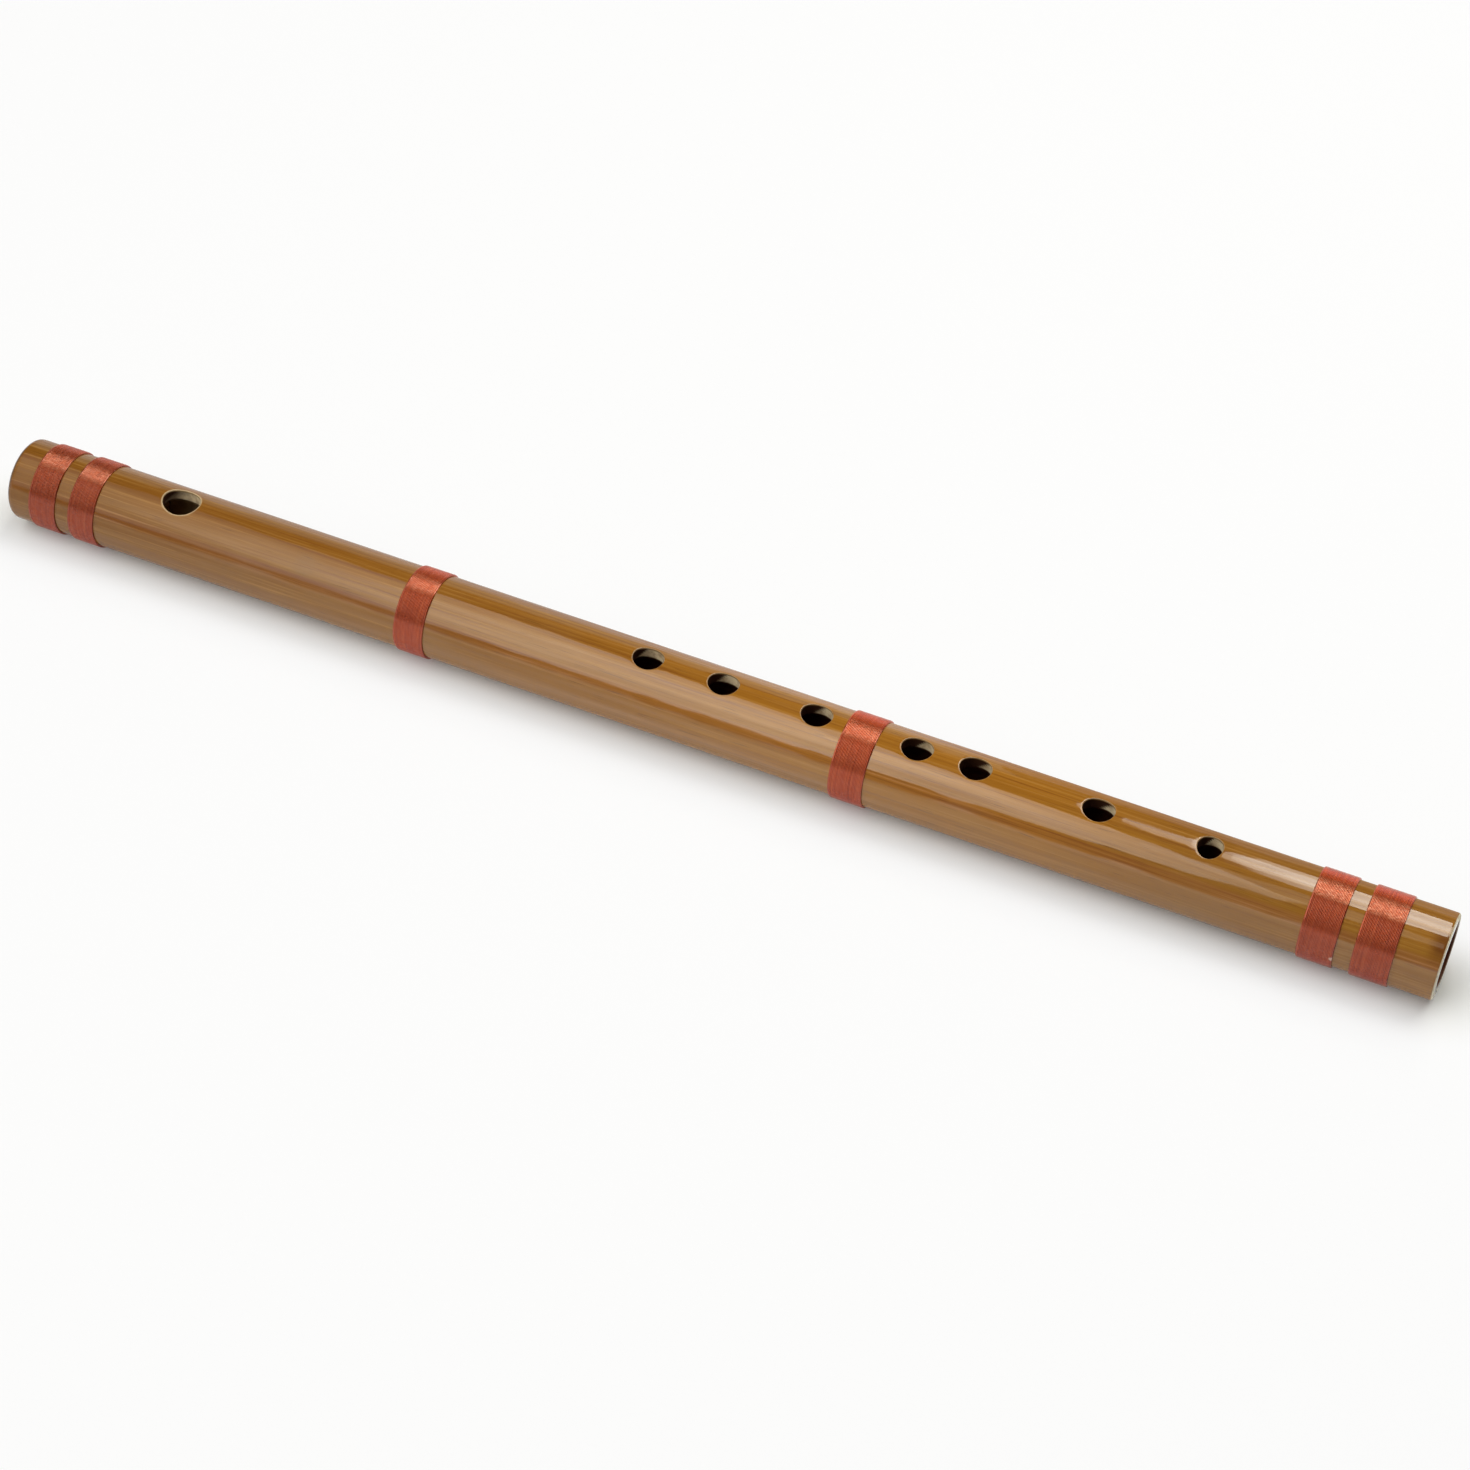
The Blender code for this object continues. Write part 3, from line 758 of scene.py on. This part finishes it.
stage = {
    "floorRadius": 12.0,
    "floorRings": 24,
    "floorSides": 64,
    "sweepFrom": 6.0,  # the floor is level to here and curves up beyond
    "sweepHeight": 2.5,
    "fadeHeights": (0.6, 2.4),  # the sweep's white fades between these heights
    "fadeTo": 0.1,
    "floorShades": ((0.870, 0.893, 0.950), (0.885, 0.906, 0.962)),
    "glowNear": 0.8,  # this share of the white that the camera and shiny things see is the floor's own
    "glowAround": (0.001, 0.021),  # it sets in between these distances from the flute
    "glowFrom": 0.8,  # and beyond this far it grows, so that the floor stays pale
    "glowFull": 2.6,
    "glowColour": (0.972, 0.974, 0.982),
    "worldStrength": 0.03,
}
softboxes = {  # their long sides follow the flute: span along it, angle from overhead
    "backSoftbox": {"shape": "RECTANGLE", "span": (-0.04, 0.20), "degrees": (-54, -7), "distance": 1.6,
                    "radiance": 6.2, "colour": (1.0, 0.96, 0.84),
                    "dimStart": 0.35, "dimShare": 0.4},  # dimmer over this share of its length
    "sideStrip": {"shape": "RECTANGLE", "span": (0.20, 1.10), "degrees": (-43, -12), "distance": 1.6,
                  "radiance": 4.6, "colour": (1.0, 0.98, 0.87)},
    "backReflector": {"shape": "RECTANGLE", "span": (-1.10, -0.22), "degrees": (-88, -55), "distance": 1.6,
                      "radiance": 0.75, "colour": (1.0, 0.95, 0.64)},
    "tailGlow": {"shape": "ELLIPSE", "span": (-0.10, 0.14), "degrees": (6, 28), "distance": 1.6,
                 "radiance": 0.9, "colour": (1.0, 0.97, 0.80)},
    "edgeGlow": {"shape": "ELLIPSE", "span": (-0.125, 0.035), "degrees": (-47, -15), "distance": 1.62,
                 "radiance": 2.8, "colour": (1.0, 0.96, 0.84)},
}
umbrella = {  # the broad round lamp at the front left
    "swingDegrees": -20,
    "leanDegrees": 25,
    "distance": 1.6,
    "offset": (-0.743, -0.066),
    "halfAxes": (1.52, 1.28),
    "turnDegrees": 66,
    "radiance": 0.69,
    "colour": (1.0, 0.965, 0.86),
    "glows": [  # place, spread along and across, gain
        ((0.12, 0.20), (0.60, 1.50), 2.9),
        ((0.14, -0.37), (0.30, 0.22), 1.8),
    ],
}


def makeStage():
    # Rings about the middle, whose height grows with the square of the way past the level part.
    distance = np.linspace(0.5, stage["floorRadius"], stage["floorRings"])[:, None]
    turn = np.linspace(0, 2 * math.pi, stage["floorSides"], endpoint=False)
    past = np.maximum(distance - stage["sweepFrom"], 0) / (stage["floorRadius"] - stage["sweepFrom"])
    height = stage["sweepHeight"] * past ** 2 + 0 * turn
    points = np.stack([distance * np.cos(turn), distance * np.sin(turn), height], 2).reshape(-1, 3)
    grid = np.arange(len(points)).reshape(height.shape)
    faces = [quadsOf(grid, False, True), fanOf(len(points), grid[0][::-1])]
    points = np.concatenate([points, [(0, 0, 0)]])
    finish = Finish("paleTable")
    cloud = finish.noise((3, 3, 3), 3, 0.5)
    colour = finish.mix(cloud, *stage["floorShades"])
    beyond = ((finish.along() - tubeLength / 2).math("ABSOLUTE") - tubeLength / 2).math("MAXIMUM", 0.0)
    sideways = finish.node("SeparateXYZ", output=1, Vector=finish.objectPlace())
    away = (beyond * beyond + sideways * sideways).math("SQRT")
    near = stage["glowNear"]
    glow = finish.remap(away, *stage["glowAround"], 0.0, near, True)
    glow = glow + finish.remap(away, stage["glowFrom"], stage["glowFull"], 0.0, 1 - near, True)
    seen = finish.node("LightPath")
    for output in (3, 6):  # glossy and transmission rays see what the camera does
        seen = seen.math("MAXIMUM", finish.node("LightPath", output=output))
    glow = glow * seen
    up = finish.node("SeparateXYZ", output=2, Vector=finish.objectPlace())
    fade = finish.remap(up, *stage["fadeHeights"], 1.0, stage["fadeTo"], True)
    glowColour = finish.mix(glow * fade, (0, 0, 0), stage["glowColour"])
    base = finish.mix(glow, colour, (0, 0, 0))
    material = finish.set(Base_Color=base, Roughness=0.75, Emission_Color=glowColour, Emission_Strength=1.0)
    floor = makePiece("tableTop", points, faces, material)
    if floor.data.polygons[0].normal.z < 0:
        floor.data.flip_normals()


def addLamp(name, shape, halfAxes, radiance, colour, axes, place):
    # An area lamp of this radiance, whose local axes are the columns given.
    data = bpy.data.lights.new(name, "AREA")
    data.shape = shape
    data.color = colour
    data.size, data.size_y = 2 * halfAxes[0], 2 * halfAxes[1]
    area = (math.pi if shape == "ELLIPSE" else 4) * halfAxes[0] * halfAxes[1]
    data.energy = radiance * math.pi * area
    lamp = bpy.data.objects.new(name, data)
    bpy.context.scene.collection.objects.link(lamp)
    lamp.matrix_world = Matrix.Translation(place) @ Matrix(axes).transposed().to_4x4()
    lamp.visible_camera = False
    data.use_nodes = True
    return data


def makeSoftboxes():
    for name, box in softboxes.items():
        low, high = (math.radians(angle) for angle in box["degrees"])
        middle, half = (low + high) / 2, (high - low) / 2
        away = Vector((0, -math.sin(middle), math.cos(middle)))
        place = Vector((sum(box["span"]) / 2, 0, axisHeight)) + away * box["distance"]
        halfAxes = ((box["span"][1] - box["span"][0]) / 2, box["distance"] * math.tan(half))
        across = away.cross(Vector((1, 0, 0)))
        axes = ((1, 0, 0), across, away)
        data = addLamp(name, box["shape"], halfAxes, box["radiance"], box["colour"], axes, place)
        if "dimStart" in box:
            glow = Nodes(data.node_tree)
            x = glow.node("SeparateXYZ", Vector=glow.node("NewGeometry"))
            low, high = box["span"]
            bright = low + (high - low) * box["dimShare"]
            strength = glow.node("MapRange", i0=x, i1=low, i2=bright, i3=box["dimStart"], i4=1.0)
            join(data.node_tree, data.node_tree.nodes["Emission"].inputs["Strength"], strength)


def makeUmbrella():
    # Each of its glows adds a bell curve of the distance from a place on it, with one spread
    # along the flute and another across.
    lean, swing = math.radians(umbrella["leanDegrees"]), math.radians(umbrella["swingDegrees"])
    away = Vector((math.sin(swing), -math.sin(lean) * math.cos(swing), math.cos(lean) * math.cos(swing)))
    right = Vector((math.cos(swing), math.sin(lean) * math.sin(swing), -math.cos(lean) * math.sin(swing)))
    down = Vector((0, -math.cos(lean), -math.sin(lean)))
    middle = Vector((0, 0, axisHeight)) + away * umbrella["distance"]
    place = middle + right * umbrella["offset"][0] + down * umbrella["offset"][1]
    turn = math.radians(umbrella["turnDegrees"])
    first = right * math.cos(turn) + down * math.sin(turn)
    data = addLamp("frontUmbrella", "ELLIPSE", umbrella["halfAxes"], umbrella["radiance"], umbrella["colour"],
                   (first, away.cross(first), away), place)
    tree = data.node_tree
    glow = Nodes(tree)
    spot = glow.node("NewGeometry")
    strength = 1.0
    for (alongPlace, acrossPlace), spreads, gain in umbrella["glows"]:
        hot = middle + right * alongPlace + down * acrossPlace
        reach = 0.0
        for axis, spread in zip((right, down), spreads):
            across = tuple(axis / spread)
            share = glow.node("VectorMath", {"operation": "DOT_PRODUCT"}, output=1, i0=spot, i1=across)
            share = share - hot.dot(axis) / spread
            reach = share * share + reach
        strength = (-reach).math("EXPONENT") * gain + strength
    join(tree, tree.nodes["Emission"].inputs["Strength"], strength)


def makeWorld():
    world = bpy.data.worlds.new("studio")
    bpy.context.scene.world = world
    world.use_nodes = True
    background = world.node_tree.nodes["Background"]
    background.inputs["Color"].default_value = (1, 1, 1, 1)
    background.inputs["Strength"].default_value = stage["worldStrength"]


makeCamera(photoView)
print("camera placed")

bamboo = bambooFinish()
thread = threadFinish()
wall = makeTube(bamboo)
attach(wall, "root")
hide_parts("bamboo_tube")
print("bamboo wall:", len(wall.data.polygons), "faces")

for bindingName in bindingNames:
    turns = makeThread(bindingName, thread)
    sleeve = makeSleeve(bindingName, thread)
    for part in (turns, sleeve):
        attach(part, "root")
    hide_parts(bindingName)
print("bindings wound")

for node, material in (("head_plug", plugFinish()), ("stopper", corkFinish())):
    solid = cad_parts[node]
    solid.data.materials.clear()
    solid.data.materials.append(material)
print("plug and stopper finished")

makeStage()
makeSoftboxes()
makeUmbrella()
makeWorld()
bpy.context.scene.view_settings.view_transform = "Standard"
print("stage lit")
